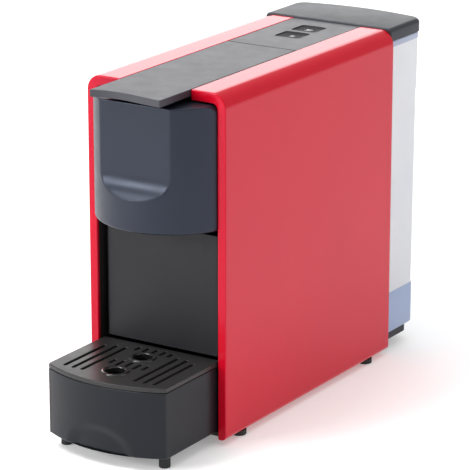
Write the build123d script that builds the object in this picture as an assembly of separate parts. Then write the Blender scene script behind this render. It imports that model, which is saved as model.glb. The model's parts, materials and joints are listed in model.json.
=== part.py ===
from build123d import *
from math import cos, pi, radians, sin, sqrt
import os

# Capsule espresso machine, millimetres.  +X is the right side seen from the front,
# -Y is the front, +Z is up.  The origin is on the table, under the middle of the machine.

# ---- driving dimensions -------------------------------------------------------------
overall_width = 112.0
overall_depth = 355.0
shell_front = -100.0          # front plane of the two red side covers
shell_rear = 126.5            # rear plane of the side covers
frame_shift = -4.0            # moves the design so that the origin is under the middle of the machine
shell_bottom = 4.0
shell_top = 249.0
cover_wall = 2.8
rim_width = 6.5               # thick front edge of a side cover
rim_depth = 3.0
rim_top = 7.5
top_corner_radius = 11.0
bottom_corner_radius = 4.0
foot_flange_x = 43.0          # the bottom flange reaches in under the floor to here
foot_flange_setback = 12.0    # and starts this far behind the front plane
flange_inner_x = 28.6         # the lever and button panel lie between the two top flanges

chassis_inner_x = 50.2
inner_half = 49.9             # pieces that span the room between the inner walls
chassis_wall = 2.5
base_bottom = 6.2
base_top = 8.8
bay_rear = 0.0                # wall behind the drip tray and capsule bin

head_radius = 53.8            # plan radius of the bulging head
head_centre_y = -79.0
head_bottom = 153.5
head_top = 240.5
head_wall = 2.6
head_low_corner = 1.5
head_top_corner = 5.5
spout_y = -112.0
spout_radius = 9.0
spout_bottom = 149.1
duct_drop = 28.0              # the coffee duct lies this far below the brew axis
duct_radius = 5.5
duct_bore = 2.5
recess_half_width = 28.3
recess_scoop_radius = 20.0
recess_scoop_z = 192.0        # the flat recess turns into the scoop at this height

lever_half_width = 28.3
lever_front = -136.5
lever_thickness = 5.0
lever_arch = 3.0              # hollow of the lever's front edge
lever_opening = 75.0          # degrees
hinge_y = 29.0
hinge_z = 241.5
hinge_pin_radius = 2.0
lever_rear_radius = 9.0       # rear end of the lever turns inside this radius
running_gap = 0.05

carriage_travel = 24.0
cam_pin_y = -11.0
cam_pin_z = 221.5
cam_pin_radius = 2.0
guide_pin_y = -46.0
guide_pin_z = 178.0
cheek_inner_x = 20.5
cheek_outer_x = 23.5
cheek_boss_radius = 5.0
arm_inner_x = 24.0
arm_outer_x = 26.6
brew_axis_z = 200.0
brew_deck_bottom = 151.5
brew_deck_top = 154.5

tray_half_width = 48.2
tray_front = -overall_depth / 2 - frame_shift
tray_corner_y = -161.0
tray_bottom = 9.3
tray_top = 60.0
tray_wall = 2.2
tray_foot_x = 40.5
tray_foot_y = -152.0
tray_foot_radius = 4.0
grille_thickness = 3.2
grille_rear = -94.0
cup_ring_radius = 8.6
cup_ring_ys = (-150.5, -118.0)

bin_half_width = 46.6
bin_front = -93.5
bin_rear = -4.0
bin_bottom = 61.6
bin_top = 148.0
bin_wall = 2.0

lid_half_width = 53.6
lid_front = shell_rear + 0.4
lid_rear = overall_depth / 2 - frame_shift
lid_side_end = 174.5
lid_corner = 10.0
lid_edge_radius = 3.6
lid_bottom = 240.4
lid_top = 250.0
tank_half_width = 53.2
tank_front = 128.4
tank_bottom = 15.2
tank_top = 240.0
tank_wall = 2.2
tank_rear_top = 180.6
tank_rear_bottom = 177.6
tank_bulge = 7.0
tank_corner = 10.0
seat_inset = 3.6
seat_bottom = 8.0
seat_top = 14.6
tank_port_y = 146.0
tank_port_z = 22.0
tank_port_radius = 4.2
gland_x = -34.0
gland_z = 24.0
gland_radius = 5.2

button_half = 10.0
button_depth = 18.4
button_ys = (77.0, 100.2)
button_travel = 1.5
panel_thickness = 3.0
foot_radius = 5.2
foot_x = 49.6
foot_ys = (-73.0, 102.0)
screw_x = 37.0
screw_ys = (8.0, 112.0)
hose_radius = 2.6
tank_stub_front = 118.0
pump_x = -16.0
pump_z = 56.0
heater_stub_x = -12.0
meter_place = (26.0, 96.0)
finger_arch_half = 28.0
finger_arch_height = 20.0
finger_arch_depth = 3.5


# ---- helpers ------------------------------------------------------------------------
def block(x0, x1, y0, y1, z0, z1):
    """Box between two corners."""
    centre = Pos((x0 + x1) / 2, (y0 + y1) / 2, (z0 + z1) / 2)
    return centre * Box(x1 - x0, y1 - y0, z1 - z0)


def rod_x(radius, y, z, x0, x1):
    """Round bar along X."""
    return Pos((x0 + x1) / 2, y, z) * Rot(0, 90, 0) * Cylinder(radius, x1 - x0)


def rod_y(radius, x, z, y0, y1):
    """Round bar along Y."""
    return Pos(x, (y0 + y1) / 2, z) * Rot(90, 0, 0) * Cylinder(radius, y1 - y0)


def rod_z(radius, x, y, z0, z1):
    """Round bar along Z."""
    return Pos(x, y, (z0 + z1) / 2) * Cylinder(radius, z1 - z0)


def prism_x(face, x0, x1):
    """Extrude a profile drawn in Y, Z along X."""
    return extrude(Plane.YZ.offset(x0) * face, amount=x1 - x0)


def prism_y(face, y0, y1):
    """Extrude a profile drawn in X, Z along Y."""
    return extrude(Plane.XZ.offset(-y0) * face, amount=-(y1 - y0))


def prism_z(face, z0, z1):
    """Extrude a profile drawn in X, Y along Z."""
    return extrude(Plane.XY.offset(z0) * face, amount=z1 - z0)


def polygon(*points):
    """Face inside a closed run of straight edges."""
    return make_face(Polyline(*points, close=True))


def round_corner(face, point, radius):
    """Fillet the corner of a face that lies at the point."""
    near = [v for v in face.vertices() if abs(v.X - point[0]) + abs(v.Y - point[1]) < 0.01]
    return fillet(near, radius)


def slot_y(radius, y0, y1, z, x0, x1):
    """Round-ended slot along Y, cut through along X."""
    middle = block(x0, x1, y0, y1, z - radius, z + radius)
    return middle + rod_x(radius, y0, z, x0, x1) + rod_x(radius, y1, z, x0, x1)


def bowed_outline(half_width, front, side_end, rear, corner):
    """Plan outline with a straight front, straight sides and a bowed rear edge."""
    left = (-half_width, side_end)
    right = (half_width, side_end)
    edges = Polyline(left, (-half_width, front), (half_width, front), right)
    edges += ThreePointArc(right, (0, rear), left)
    face = make_face(edges)
    face = round_corner(face, left, corner)
    return round_corner(face, right, corner)


def hose(points, share=0.45):
    """Flexible tube with tangent bends along a route."""
    radii = []
    for before, here, after in zip(points, points[1:], points[2:]):
        run_in = Vector(*here) - Vector(*before)
        run_out = Vector(*after) - Vector(*here)
        half_turn = radians(run_in.get_angle(run_out)) / 2
        shorter = min(run_in.length, run_out.length)
        radii.append(share * shorter * cos(half_turn) / sin(half_turn))
    path = FilletPolyline(*points, radius=radii)
    start = Plane(origin=path @ 0, z_dir=path % 0)
    return sweep(start * Circle(hose_radius), path=path)


def save(name, shape):
    """Move one sub-part into the frame and write it."""
    solids = [Pos(0, frame_shift, 0) * solid for solid in shape.solids()]
    placed = Compound(children=solids) if len(solids) > 1 else solids[0]
    placed.label = name
    export_step(placed, f"parts/{name}.step")


# ---- outer casing -------------------------------------------------------------------
def cover_section(side, top, bottom):
    """C-shaped section of the right cover: side wall, top flange and bottom flange."""
    half = overall_width / 2
    outer = polygon(
        (flange_inner_x, shell_top), (half, shell_top), (half, shell_bottom),
        (foot_flange_x, shell_bottom), (foot_flange_x, shell_bottom + bottom),
        (half - side, shell_bottom + bottom), (half - side, shell_top - top),
        (flange_inner_x, shell_top - top))
    outer = round_corner(outer, (half, shell_top), top_corner_radius)
    outer = round_corner(outer, (half, shell_bottom), bottom_corner_radius)
    inner_radius = max(top_corner_radius - side, 2.5)
    return round_corner(outer, (half - side, shell_top - top), inner_radius)


def right_cover():
    """Glossy side cover with a thicker front rim and two foot holes."""
    thin = cover_section(cover_wall, cover_wall, 2.1)
    rim = cover_section(rim_width, rim_top, 2.1)
    cover = prism_y(rim, shell_front, shell_front + rim_depth)
    cover += prism_y(thin, shell_front + rim_depth, shell_rear)
    inner_rim_x = overall_width / 2 - rim_width
    setback = shell_front + foot_flange_setback
    cover -= block(0, inner_rim_x, shell_front - 1, setback, shell_bottom - 1, base_bottom)
    for foot_y in foot_ys:
        cover -= rod_z(2.6, foot_x, foot_y, shell_bottom - 1, base_bottom)
    return cover


def chassis_right():
    """Inner side wall that the red cover clips over, with a rail for the capsule bin."""
    outer = chassis_inner_x + chassis_wall
    front = shell_front + rim_depth + 0.3
    top = shell_top - rim_top - 1.3
    wall = block(chassis_inner_x, outer, front, shell_rear - 4.0, base_top, top)
    rail = block(45.5, chassis_inner_x + 1, bin_front + 4, bay_rear - 0.2, tray_top + 0.2, bin_bottom - 0.2)
    for vent_z in (60, 74, 88, 102, 116):
        wall -= block(chassis_inner_x - 1, outer + 1, 40, 100, vent_z, vent_z + 6)
    return wall + rail


def base_plate():
    """Floor of the machine with foot holes, vents and screw holes."""
    front = shell_front + 1.5
    plate = block(-52.7, 52.7, front + 2, shell_rear - 0.2, base_bottom, base_top)
    plate += block(-48.5, 48.5, front, front + 3, base_bottom, base_top)
    for side in (-1, 1):
        for foot_y in foot_ys:
            plate -= rod_z(2.6, side * foot_x, foot_y, base_bottom - 1, base_top + 1)
        for screw_y in screw_ys:
            plate -= rod_z(1.7, side * screw_x, screw_y, base_bottom - 1, base_top + 1)
    for row in range(6):
        vent_y = 34 + row * 10
        plate -= block(-14, 30, vent_y, vent_y + 4, base_bottom - 1, base_top + 1)
    return plate


def rubber_foot(side, foot_y):
    """Round foot with a push-in stem that reaches through the floor plate."""
    x = side * foot_x
    pad = rod_z(foot_radius, x, foot_y, 0, shell_bottom)
    pad = fillet(pad.edges().group_by(Axis.Z)[0], 0.8)
    stem = rod_z(2.5, x, foot_y, shell_bottom - 0.5, base_top - 0.1)
    return pad + stem


def back_panel():
    """Rear wall with the cable gland opening and the water connection opening."""
    panel_top = shell_top - cover_wall - 2.2
    panel = block(-inner_half, inner_half, shell_rear - 3.4, shell_rear - 0.8, base_top, panel_top)
    panel -= rod_y(gland_radius, gland_x, gland_z, shell_rear - 6, shell_rear + 2)
    panel -= rod_y(tank_port_radius, 0, tank_port_z, shell_rear - 6, shell_rear + 2)
    for row in range(5):
        vent_z = 180 + row * 9
        panel -= block(-30, 30, shell_rear - 6, shell_rear + 2, vent_z, vent_z + 3.5)
    return panel


def bay_wall():
    """Wall between the tray bay and the pump room."""
    wall = block(-inner_half, inner_half, bay_rear, bay_rear + 2.4, base_top, brew_deck_bottom - 0.2)
    wall -= rod_y(3.2, 30, 130, bay_rear - 2, bay_rear + 4)
    return wall


def tank_seat():
    """Shelf that carries the water tank, with the socket of its valve."""
    rear = tank_rear_bottom - seat_inset
    seat_half = tank_half_width - seat_inset
    outline = bowed_outline(seat_half, shell_rear + 0.2, rear - tank_bulge, rear, tank_corner)
    seat = prism_z(outline, seat_bottom, seat_top)
    seat -= rod_z(9.0, 0, tank_port_y, seat_bottom + 2.0, seat_top + 1)
    nipple = rod_z(3.0, 0, tank_port_y, seat_bottom + 1.0, seat_bottom + 5.0)
    nipple -= rod_z(1.6, 0, tank_port_y, seat_bottom - 1, seat_bottom + 6)
    tongue = block(-44, 44, shell_rear - 0.7, shell_rear + 1, base_top + 0.05, base_top + 3)
    return seat + nipple + tongue


def cable_gland():
    """Bush in the rear wall where the mains lead goes in."""
    bush = rod_y(gland_radius - 0.2, gland_x, gland_z, shell_rear - 7.0, shell_rear - 0.8)
    bush += rod_y(gland_radius + 1.6, gland_x, gland_z, shell_rear - 0.8, shell_rear + 0.6)
    bush -= rod_y(gland_radius - 1.9, gland_x, gland_z, shell_rear - 8, shell_rear + 2)
    return bush


# ---- head and spout -----------------------------------------------------------------
def head_plan(radius, rear_y, half_width):
    """Segment of the round head cut off by its rear plane and its two sides."""
    disc = Pos(0, head_centre_y) * Circle(radius)
    window = Pos(0, rear_y - 50) * Rectangle(2 * half_width, 100)
    return disc & window


def head_cover():
    """Bulging front cover with a flat U-shaped recess for the fingers."""
    inner_width = overall_width / 2 - rim_width
    rear = shell_front + 1.2
    outer = prism_z(head_plan(head_radius, rear, inner_width - 0.15), head_bottom, head_top)
    corners = Rectangle(2 * inner_width, head_top - head_bottom)
    corners = fillet(corners.vertices().group_by(Axis.Y)[0], head_low_corner)
    corners = fillet(corners.vertices().group_by(Axis.Y)[-1], head_top_corner)
    face = Pos(0, (head_top + head_bottom) / 2) * corners
    outer = outer & prism_y(face, -160, -90)
    hollow_plan = head_plan(head_radius - head_wall, rear + 5, inner_width - 3)
    inside = prism_z(hollow_plan, head_bottom + 3, head_top - 2.4)
    flat_y = head_centre_y - sqrt(head_radius ** 2 - recess_half_width ** 2)
    scoop = block(-60, 60, flat_y - 40, flat_y, recess_scoop_z, head_top + 1)
    scoop_axis_y = flat_y - recess_scoop_radius
    scoop += rod_x(recess_scoop_radius, scoop_axis_y, recess_scoop_z, -60, 60)
    grown = block(-60, 60, -200, 0, head_bottom, head_top)
    grown -= block(-60, 60, flat_y - 40, flat_y + head_wall, recess_scoop_z, head_top + 1)
    grown -= rod_x(recess_scoop_radius + head_wall, scoop_axis_y, recess_scoop_z, -60, 60)
    cover = outer - (inside & grown) - scoop
    cover -= rod_z(spout_radius + 0.4, 0, spout_y, head_bottom - 1, head_bottom + 4)
    return cover


def spout_nozzle():
    """Round outlet that hangs through the floor of the head, with the duct behind it."""
    duct_z = brew_axis_z - duct_drop
    body = rod_z(spout_radius, 0, spout_y, spout_bottom, duct_z + 4)
    body += rod_z(spout_radius + 2.0, 0, spout_y, head_bottom + 3.2, head_bottom + 5.0)
    body -= rod_z(spout_radius - 2.4, 0, spout_y, spout_bottom - 1, duct_z - 7)
    body += rod_y(duct_radius, 0, duct_z, spout_y - 3, shell_front + 2)
    body -= rod_z(duct_bore, 0, spout_y, duct_z - 12, duct_z + 0.5)
    body -= rod_y(duct_bore, 0, duct_z, spout_y, shell_front + 3)
    return body


# ---- lever and brew unit ------------------------------------------------------------
def lever_plan():
    """Lever outline with a gently hollow front edge."""
    front_left = (-lever_half_width, lever_front)
    front_right = (lever_half_width, lever_front)
    rear = hinge_y + lever_rear_radius
    edges = Polyline(front_right, (lever_half_width, rear), (-lever_half_width, rear), front_left)
    edges += ThreePointArc(front_left, (0, lever_front + lever_arch), front_right)
    return make_face(edges)


def lever_cover():
    """Top plate of the lever; its rear end is round about the hinge."""
    plate = prism_z(lever_plan(), shell_top - lever_thickness, shell_top)
    behind = block(-30, 30, hinge_y, hinge_y + 20, shell_top - 9, shell_top + 1)
    plate -= behind - rod_x(lever_rear_radius, hinge_y, hinge_z, -31, 31)
    under = block(-22.0, 22.0, lever_front + 10, -20, shell_top - lever_thickness - 1, shell_top - 2.6)
    for y in (-100, -65, -30):
        under -= block(-30, 30, y - 1, y + 1, 0, 300)
    for side in (-1, 1):
        x0, x1 = sorted((side * (cheek_inner_x - 0.3), side * (cheek_outer_x + 0.3)))
        under += rod_x(cheek_boss_radius + 0.3, hinge_y, hinge_z, x0, x1)
    return plate - under


def cam_point(angle):
    """Cam pin centre in the lever's own frame, when the lever stands open by the angle."""
    turn = radians(angle)
    dy = cam_pin_y - hinge_y + carriage_travel * angle / lever_opening
    dz = cam_pin_z - hinge_z
    return (hinge_y + dy * cos(turn) - dz * sin(turn), hinge_z + dy * sin(turn) + dz * cos(turn))


def cam_band(radius):
    """Round-ended band along the cam track, drawn in Y, Z."""
    steps = 24
    points = [cam_point(lever_opening * i / steps) for i in range(steps + 1)]
    band = Pos(*points[0]) * Circle(radius)
    for start, end in zip(points, points[1:]):
        run = Vector(*end) - Vector(*start)
        middle = ((start[0] + end[0]) / 2, (start[1] + end[1]) / 2)
        angle = run.get_signed_angle(Vector(1, 0, 0), Vector(0, 0, -1))
        band += Pos(*middle) * Rot(0, 0, angle) * Rectangle(run.length, 2 * radius)
        band += Pos(*end) * Circle(radius)
    return band


def lever_arm(side):
    """Steel arm under the lever, with the hinge bore and the cam track."""
    plate = cam_band(cam_pin_radius + 5.0)
    plate += Pos(hinge_y, hinge_z) * Circle(6.5)
    plate += polygon((cam_pin_y + 2, hinge_z + 2), (cam_pin_y + 4, cam_pin_z), (hinge_y, cam_pin_z - 6),
                     (hinge_y + 10, cam_pin_z - 4), (hinge_y + 6, hinge_z + 2))
    plate &= Pos(hinge_y, hinge_z - 50) * Rectangle(200, 100 + 2 * (shell_top - lever_thickness - hinge_z))
    plate -= cam_band(cam_pin_radius + 0.2)
    plate -= Pos(hinge_y, hinge_z) * Circle(hinge_pin_radius + running_gap)
    x0, x1 = sorted((side * arm_inner_x, side * arm_outer_x))
    return prism_x(plate, x0, x1)


def brew_cheek(side):
    """Side plate of the brew unit with the hinge bore and two guide slots."""
    top = shell_top - lever_thickness - 0.4
    deck = 236.2
    profile = polygon((-92, brew_deck_top), (40, brew_deck_top), (40, 225), (37, top), (21, top), (14, deck),
                      (-92, deck))
    x0, x1 = sorted((side * cheek_inner_x, side * cheek_outer_x))
    cheek = prism_x(profile, x0, x1)
    sector = polygon((hinge_y, hinge_z), (hinge_y + 9.4, hinge_z - 17.7), (hinge_y + 30, hinge_z - 17.7),
                     (hinge_y + 30, hinge_z + 20), (hinge_y, hinge_z + 20))
    swept = sector & (Pos(hinge_y, hinge_z) * Circle(lever_rear_radius + 0.4))
    cheek -= prism_x(swept, x0 - 1, x1 + 1)
    cheek += rod_x(cheek_boss_radius, hinge_y, hinge_z, x0, x1)
    slot_radius = cam_pin_radius + running_gap
    for pin_y, pin_z in ((cam_pin_y, cam_pin_z), (guide_pin_y, guide_pin_z)):
        cheek -= slot_y(slot_radius, pin_y, pin_y + carriage_travel, pin_z, x0 - 1, x1 + 1)
    cheek -= rod_x(hinge_pin_radius + 0.02, hinge_y, hinge_z, x0 - 1, x1 + 1)
    return cheek


def brew_deck():
    """Floor of the brew unit with the drop hole for used capsules."""
    deck = block(-inner_half, inner_half, -92, 44, brew_deck_bottom, brew_deck_top)
    deck -= block(-18.5, 18.5, -72, -12, brew_deck_bottom - 1, brew_deck_top + 1)
    return deck


def top_deck():
    """Plate under the lever with the capsule slot; narrow where the arms swing."""
    deck = block(0.3 - inner_half, inner_half - 0.3, -96.5, -24, 236.4, 239.4)
    deck += block(-23.4, 23.4, -24, 6, 236.4, 239.4)
    deck -= block(-19.5, 19.5, -76, -44, 235, 241)
    return deck


def outlet_block():
    """Fixed front wall of the brew unit with the coffee outlet."""
    body = block(-20.3, 20.3, -92.0, -82.0, brew_deck_top + 0.2, 226.0)
    body += rod_y(17.0, 0, brew_axis_z, -82.0, -78.0)
    body -= rod_y(13.0, 0, brew_axis_z, -80.0, -77.0)
    duct_z = brew_axis_z - duct_drop
    body += rod_y(duct_radius, 0, duct_z, shell_front + 2.2, -92.0)
    body -= rod_y(duct_bore, 0, duct_z, shell_front + 1, -86.0)
    body -= rod_z(duct_bore, 0, -87.5, duct_z, brew_axis_z)
    body -= rod_y(duct_bore, 0, brew_axis_z, -87.5, -79.0)
    return body


def piercing_plate():
    """Steel plate with rows of small pyramids that opens the capsule's foil."""
    plate = rod_y(12.6, 0, brew_axis_z, -79.9, -78.9)
    for column in range(-2, 3):
        for row in range(-2, 3):
            base = Pos(column * 4.0, -78.9, brew_axis_z + row * 4.0) * Rot(90, 0, 0)
            plate += base * Pos(0, 0, -0.7) * Rot(180, 0, 0) * Cone(1.3, 0.3, 1.6)
    return plate


def brew_chamber():
    """Cup that holds the capsule and slides back when the lever opens."""
    cup = rod_y(18.6, 0, brew_axis_z, -75.2, -40.0)
    cup -= rod_y(14.8, 0, brew_axis_z, -76.0, -46.0)
    for angle in range(0, 360, 45):
        rib_x = 14.9 * cos(radians(angle))
        rib_z = 14.9 * sin(radians(angle))
        cup += rod_y(0.9, rib_x, brew_axis_z + rib_z, -70.0, -46.5)
    return cup - rod_y(4.0, 0, brew_axis_z, -48.0, -39.0)


def injector():
    """Water inlet piece with three hollow needles in the back of the cup."""
    piece = rod_y(3.9, 0, brew_axis_z, -47.0, -30.0)
    piece += rod_y(7.0, 0, brew_axis_z, -47.0, -46.02)
    for angle in (90, 210, 330):
        needle_x = 5.0 * cos(radians(angle))
        needle_z = 5.0 * sin(radians(angle))
        piece += rod_y(0.9, needle_x, brew_axis_z + needle_z, -53.0, -46.5)
    return piece - rod_y(1.4, 0, brew_axis_z, -44.0, -29.0)


def carriage_yoke():
    """Block behind the cup that carries the cam pin and the guide pin."""
    body = block(-20.2, 20.2, -39.9, -30.0, guide_pin_z - 4.5, 224.0)
    body += block(-20.2, -14.0, -31.0, cam_pin_y + 5.5, 212.0, 226.0)
    body += block(14.0, 20.2, -31.0, cam_pin_y + 5.5, 212.0, 226.0)
    body += block(-20.2, 20.2, guide_pin_y - 4.5, -34.0, guide_pin_z - 4.5, guide_pin_z + 2.0)
    body -= rod_y(19.0, 0, brew_axis_z, -60.0, -39.95)
    body -= rod_y(4.0, 0, brew_axis_z, -41.0, -29.0)
    body -= rod_x(cam_pin_radius + 0.02, cam_pin_y, cam_pin_z, -22, 22)
    body -= rod_x(cam_pin_radius + 0.02, guide_pin_y, guide_pin_z, -22, 22)
    return body


def ring_y(outer, inner, x, z, y0, y1):
    """Flat ring about an axis along Y."""
    return rod_y(outer, x, z, y0, y1) - rod_y(inner, x, z, y0 - 1, y1 + 1)


# ---- water system -------------------------------------------------------------------
def thermoblock():
    """Cast heater with cooling ribs, water stubs and heater tails."""
    body = block(-22, 22, 54, 104, 176, 206)
    body = fillet(body.edges().filter_by(Axis.Z), 5)
    for i in range(4):
        body -= block(-23, 23, 60 + i * 11, 63 + i * 11, 203, 207)
    body += rod_z(hose_radius + 0.8, heater_stub_x, 62, 168, 178)
    body += rod_z(hose_radius + 0.8, -heater_stub_x, 62, 168, 178)
    for x in (-6, 6):
        body += rod_y(2.2, x, 183, 102, 112)
    return body


def water_pump():
    """Vibration pump: square coil frame between its outlet and its inlet."""
    x, z = pump_x, pump_z
    coil = block(x - 19, x + 19, 40, 80, z - 20, z + 20)
    coil = fillet(coil.edges().filter_by(Axis.Y), 4)
    body = coil + rod_y(11.0, x, z, 32, 98)
    body += rod_y(7.0, x, z, 24, 33)
    body += rod_y(hose_radius + 0.8, x, z, 18, 25)
    body += rod_y(hose_radius + 0.8, x, z, 97, 104)
    return body


def pump_mount(y0):
    """Rubber cradle that keeps the pump's shaking away from the floor."""
    x, z = pump_x, pump_z
    hole = rod_y(11.05, x, z, y0 - 1, y0 + 6)
    leg = block(x - 12, x + 12, y0, y0 + 5, base_top + 0.05, z)
    return rod_y(15.5, x, z, y0, y0 + 5) + leg - hole


def flow_meter():
    """Small turbine meter between the tank and the pump."""
    x, y = meter_place
    body = rod_z(13.0, x, y, base_top + 0.05, base_top + 14)
    body += rod_y(hose_radius + 0.8, x + 7, base_top + 8, y - 16, y)
    body += rod_z(hose_radius + 0.8, x, y, base_top + 13, base_top + 21)
    return body


def tank_port():
    """Elbow in the rear wall that takes the water from the tank seat."""
    body = rod_y(tank_port_radius - 0.1, 0, tank_port_z, shell_rear - 3.4, shell_rear - 0.8)
    body += rod_y(hose_radius + 0.8, 0, tank_port_z, tank_stub_front, shell_rear - 3.0)
    return body - rod_y(1.8, 0, tank_port_z, tank_stub_front - 1, shell_rear)


def water_hoses():
    """Hoses in the order in which the water runs through them."""
    x, y = meter_place
    meter_z = base_top + 8
    gap = 0.1
    tank_run = [(0, tank_stub_front - gap, tank_port_z), (0, 100, 22), (1, 80, 20),
                (10, 62, 18), (24, 56, 17), (x + 7, 66, meter_z), (x + 7, y - 16 - gap, meter_z)]
    pump_run = [(x, y, base_top + 21 + gap), (x, y, 42), (20, 104, 53), (4, 113, pump_z + 1),
                (-9, 115, pump_z), (pump_x, 112, pump_z), (pump_x, 104 + gap, pump_z)]
    heater_run = [(pump_x, 18 - gap, pump_z), (pump_x, 10.5, pump_z), (pump_x - 1, 7.5, pump_z + 9),
                  (-20, 10, 82), (-23, 22, 104), (-20, 40, 124), (-14, 56, 144),
                  (heater_stub_x, 62, 156), (heater_stub_x, 62, 168 - gap)]
    return {
        "tank_hose": hose(tank_run),
        "pump_hose": hose(pump_run),
        "pressure_hose": hose(heater_run),
    }


def control_board():
    """Circuit board under the button panel with its two switches."""
    z = 233.0
    board = block(-21, 21, 62, 112, z, z + 1.6)
    board += block(-13, -3, 106, 111.8, z - 6, z + 0.2)
    for y in button_ys:
        board += block(-3, 3, y - 3, y + 3, z + 1.4, z + 5.6)
        board += block(-14, -11, y - 1.5, y + 1.5, z + 1.4, z + 2.6)
    return board


def board_posts():
    """Bridge between the side walls that the board and the panel stand on."""
    bridge = block(-inner_half, inner_half, 58.0, 61.5, 224.0, 235.0)
    bridge += block(-inner_half, inner_half, 112.2, 115.5, 224.0, 235.0)
    for x in (-18, 18):
        bridge += block(x - 2.5, x + 2.5, 60.5, 113.5, 228.0, 232.9)
    return bridge


def button_panel():
    """Panel between the lever and the lid with two openings for the buttons."""
    top = shell_top - 0.2
    panel = block(-lever_half_width, lever_half_width, hinge_y, shell_rear, top - panel_thickness, top)
    skirt = block(-25.5, 25.5, 45.0, shell_rear - 4.0, top - 12.0, top - panel_thickness + 0.5)
    skirt -= block(-23.5, 23.5, 47.0, shell_rear - 6.0, top - 13.0, top - panel_thickness)
    panel += skirt
    panel -= rod_x(lever_rear_radius + 0.35, hinge_y, hinge_z, -31, 31)
    for y in button_ys:
        hole = Pos(0, y) * Rectangle(2 * button_half + 0.5, button_depth + 0.5)
        panel -= prism_z(fillet(hole.vertices(), 3.2), top - 6, top + 1)
    return panel


def button(y):
    """Push button with a dished top, side catches and a stem over its switch."""
    top = shell_top - 0.2
    outline = fillet((Pos(0, y) * Rectangle(2 * button_half, button_depth)).vertices(), 3.0)
    cap = prism_z(outline, top - panel_thickness - 1.5, top - 0.4)
    dish = Pos(0, y, top - 0.4 + 88.9) * Sphere(90.0)
    cap -= dish
    stem = rod_z(1.6, 0, y, 240.2, top - panel_thickness)
    lip = fillet((Pos(0, y) * Rectangle(2 * button_half + 2.4, button_depth + 2.0)).vertices(), 3.0)
    cap += prism_z(lip, top - panel_thickness - 2.9, top - panel_thickness - 1.4)
    return cap + stem


# ---- drip tray, grille and capsule bin ----------------------------------------------
def tray_plan(inset):
    """Tray outline with a bowed front edge."""
    half = tray_half_width - inset
    rear = bin_rear - inset
    corner_y = tray_corner_y + inset
    edges = Polyline((half, corner_y), (half, rear), (-half, rear), (-half, corner_y))
    edges += ThreePointArc((-half, corner_y), (0, tray_front + inset), (half, corner_y))
    return make_face(edges)


def finger_arch(margin):
    """Arched outline of the finger hollow, larger by the margin."""
    half = finger_arch_half + margin
    top = tray_bottom + finger_arch_height + margin
    low = tray_bottom - 0.5
    return make_face(Line((-half, low), (half, low)) + ThreePointArc((half, low), (0, top), (-half, low)))


def drip_tray():
    """Deep tray with a finger hollow low in its front and a cross wall under the grille."""
    rim = tray_top - grille_thickness - 0.3
    tray = prism_z(tray_plan(0), tray_bottom, rim)
    tray -= prism_z(tray_plan(tray_wall), tray_bottom + 2.4, tray_top + 1)
    backing = tray_wall + finger_arch_depth
    tray += prism_y(finger_arch(2.0), -200, -150) & (
        prism_z(tray_plan(0), tray_bottom, rim) - prism_z(tray_plan(backing), 0, rim + 1))
    tray -= prism_y(finger_arch(0), -200, -150) - prism_z(tray_plan(finger_arch_depth), 0, rim + 1)
    shelf = prism_z(tray_plan(tray_wall), rim - 6, rim - 4)
    shelf &= block(-60, 60, -200, grille_rear, 0, 100)
    shelf -= prism_z(tray_plan(tray_wall + 2.0), rim - 7, rim - 3)
    tray += shelf
    cross_x = tray_half_width - 1
    tray += block(-cross_x, cross_x, grille_rear - 2.2, grille_rear, tray_bottom + 1, rim)
    for x in (-20, 0, 20):
        tray -= block(x - 6, x + 6, grille_rear - 4, grille_rear + 1, tray_bottom + 2.4, tray_bottom + 14)
    return tray


def tray_feet():
    """Two small feet under the front of the tray."""
    feet = []
    for side in (-1, 1):
        foot = rod_z(tray_foot_radius, side * tray_foot_x, tray_foot_y, 0, tray_bottom)
        feet.append(fillet(foot.edges().group_by(Axis.Z)[0], 0.6))
    return Compound(children=feet)


def grille_slots():
    """Long slots beside the cup rings and short ones between them."""
    bottom = tray_top - grille_thickness - 5
    top = tray_top + 1
    slots = []
    for side in (-1, 1):
        for x, y0, y1 in ((21.5, -160, -106), (29.0, -160, -106), (36.5, -159, -110)):
            slots.append(Pos(side * x, (y0 + y1) / 2) * SlotOverall(y1 - y0, 2.6, rotation=90))
        for y0, y1 in ((-138, -131), (-107, -101)):
            slots.append(Pos(side * 13.5, (y0 + y1) / 2) * SlotOverall(y1 - y0 + 2, 2.4, rotation=90))
    for x in (-7, 0, 7):
        slots.append(Pos(x, -135.0) * SlotOverall(12, 2.4, rotation=90))
        slots.append(Pos(x, -103.5) * SlotOverall(9, 2.4, rotation=90))
    return [prism_z(slot, bottom, top) for slot in slots]


def drip_grille():
    """Removable slotted cover of the tray with two round drain holes."""
    body = prism_z(tray_plan(0.0), tray_top - grille_thickness, tray_top)
    body = body & block(-60, 60, -200, grille_rear - 0.4, 0, 100)
    body = chamfer(body.faces().sort_by(Axis.Z)[-1].edges(), 0.6)
    skirt = prism_z(tray_plan(tray_wall + 0.4), tray_top - grille_thickness - 3.8, tray_top - 2)
    skirt -= prism_z(tray_plan(tray_wall + 2.0), tray_top - 9, tray_top)
    body += skirt & block(-60, 60, -200, grille_rear - 3.0, 0, 100)
    for slot in grille_slots():
        body -= slot
    for y in cup_ring_ys:
        body -= rod_z(cup_ring_radius, 0, y, tray_top - 10, tray_top + 1)
    return body


def cup_ring(y):
    """Glossy raised ring round a drain hole."""
    outer = cup_ring_radius - 0.02
    ring = rod_z(outer, 0, y, tray_top - grille_thickness, tray_top + 0.02)
    ring += rod_z(outer + 1.2, 0, y, tray_top + 0.02, tray_top + 0.9)
    ring -= rod_z(outer - 1.8, 0, y, tray_top - 8, tray_top + 2)
    return ring


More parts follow.
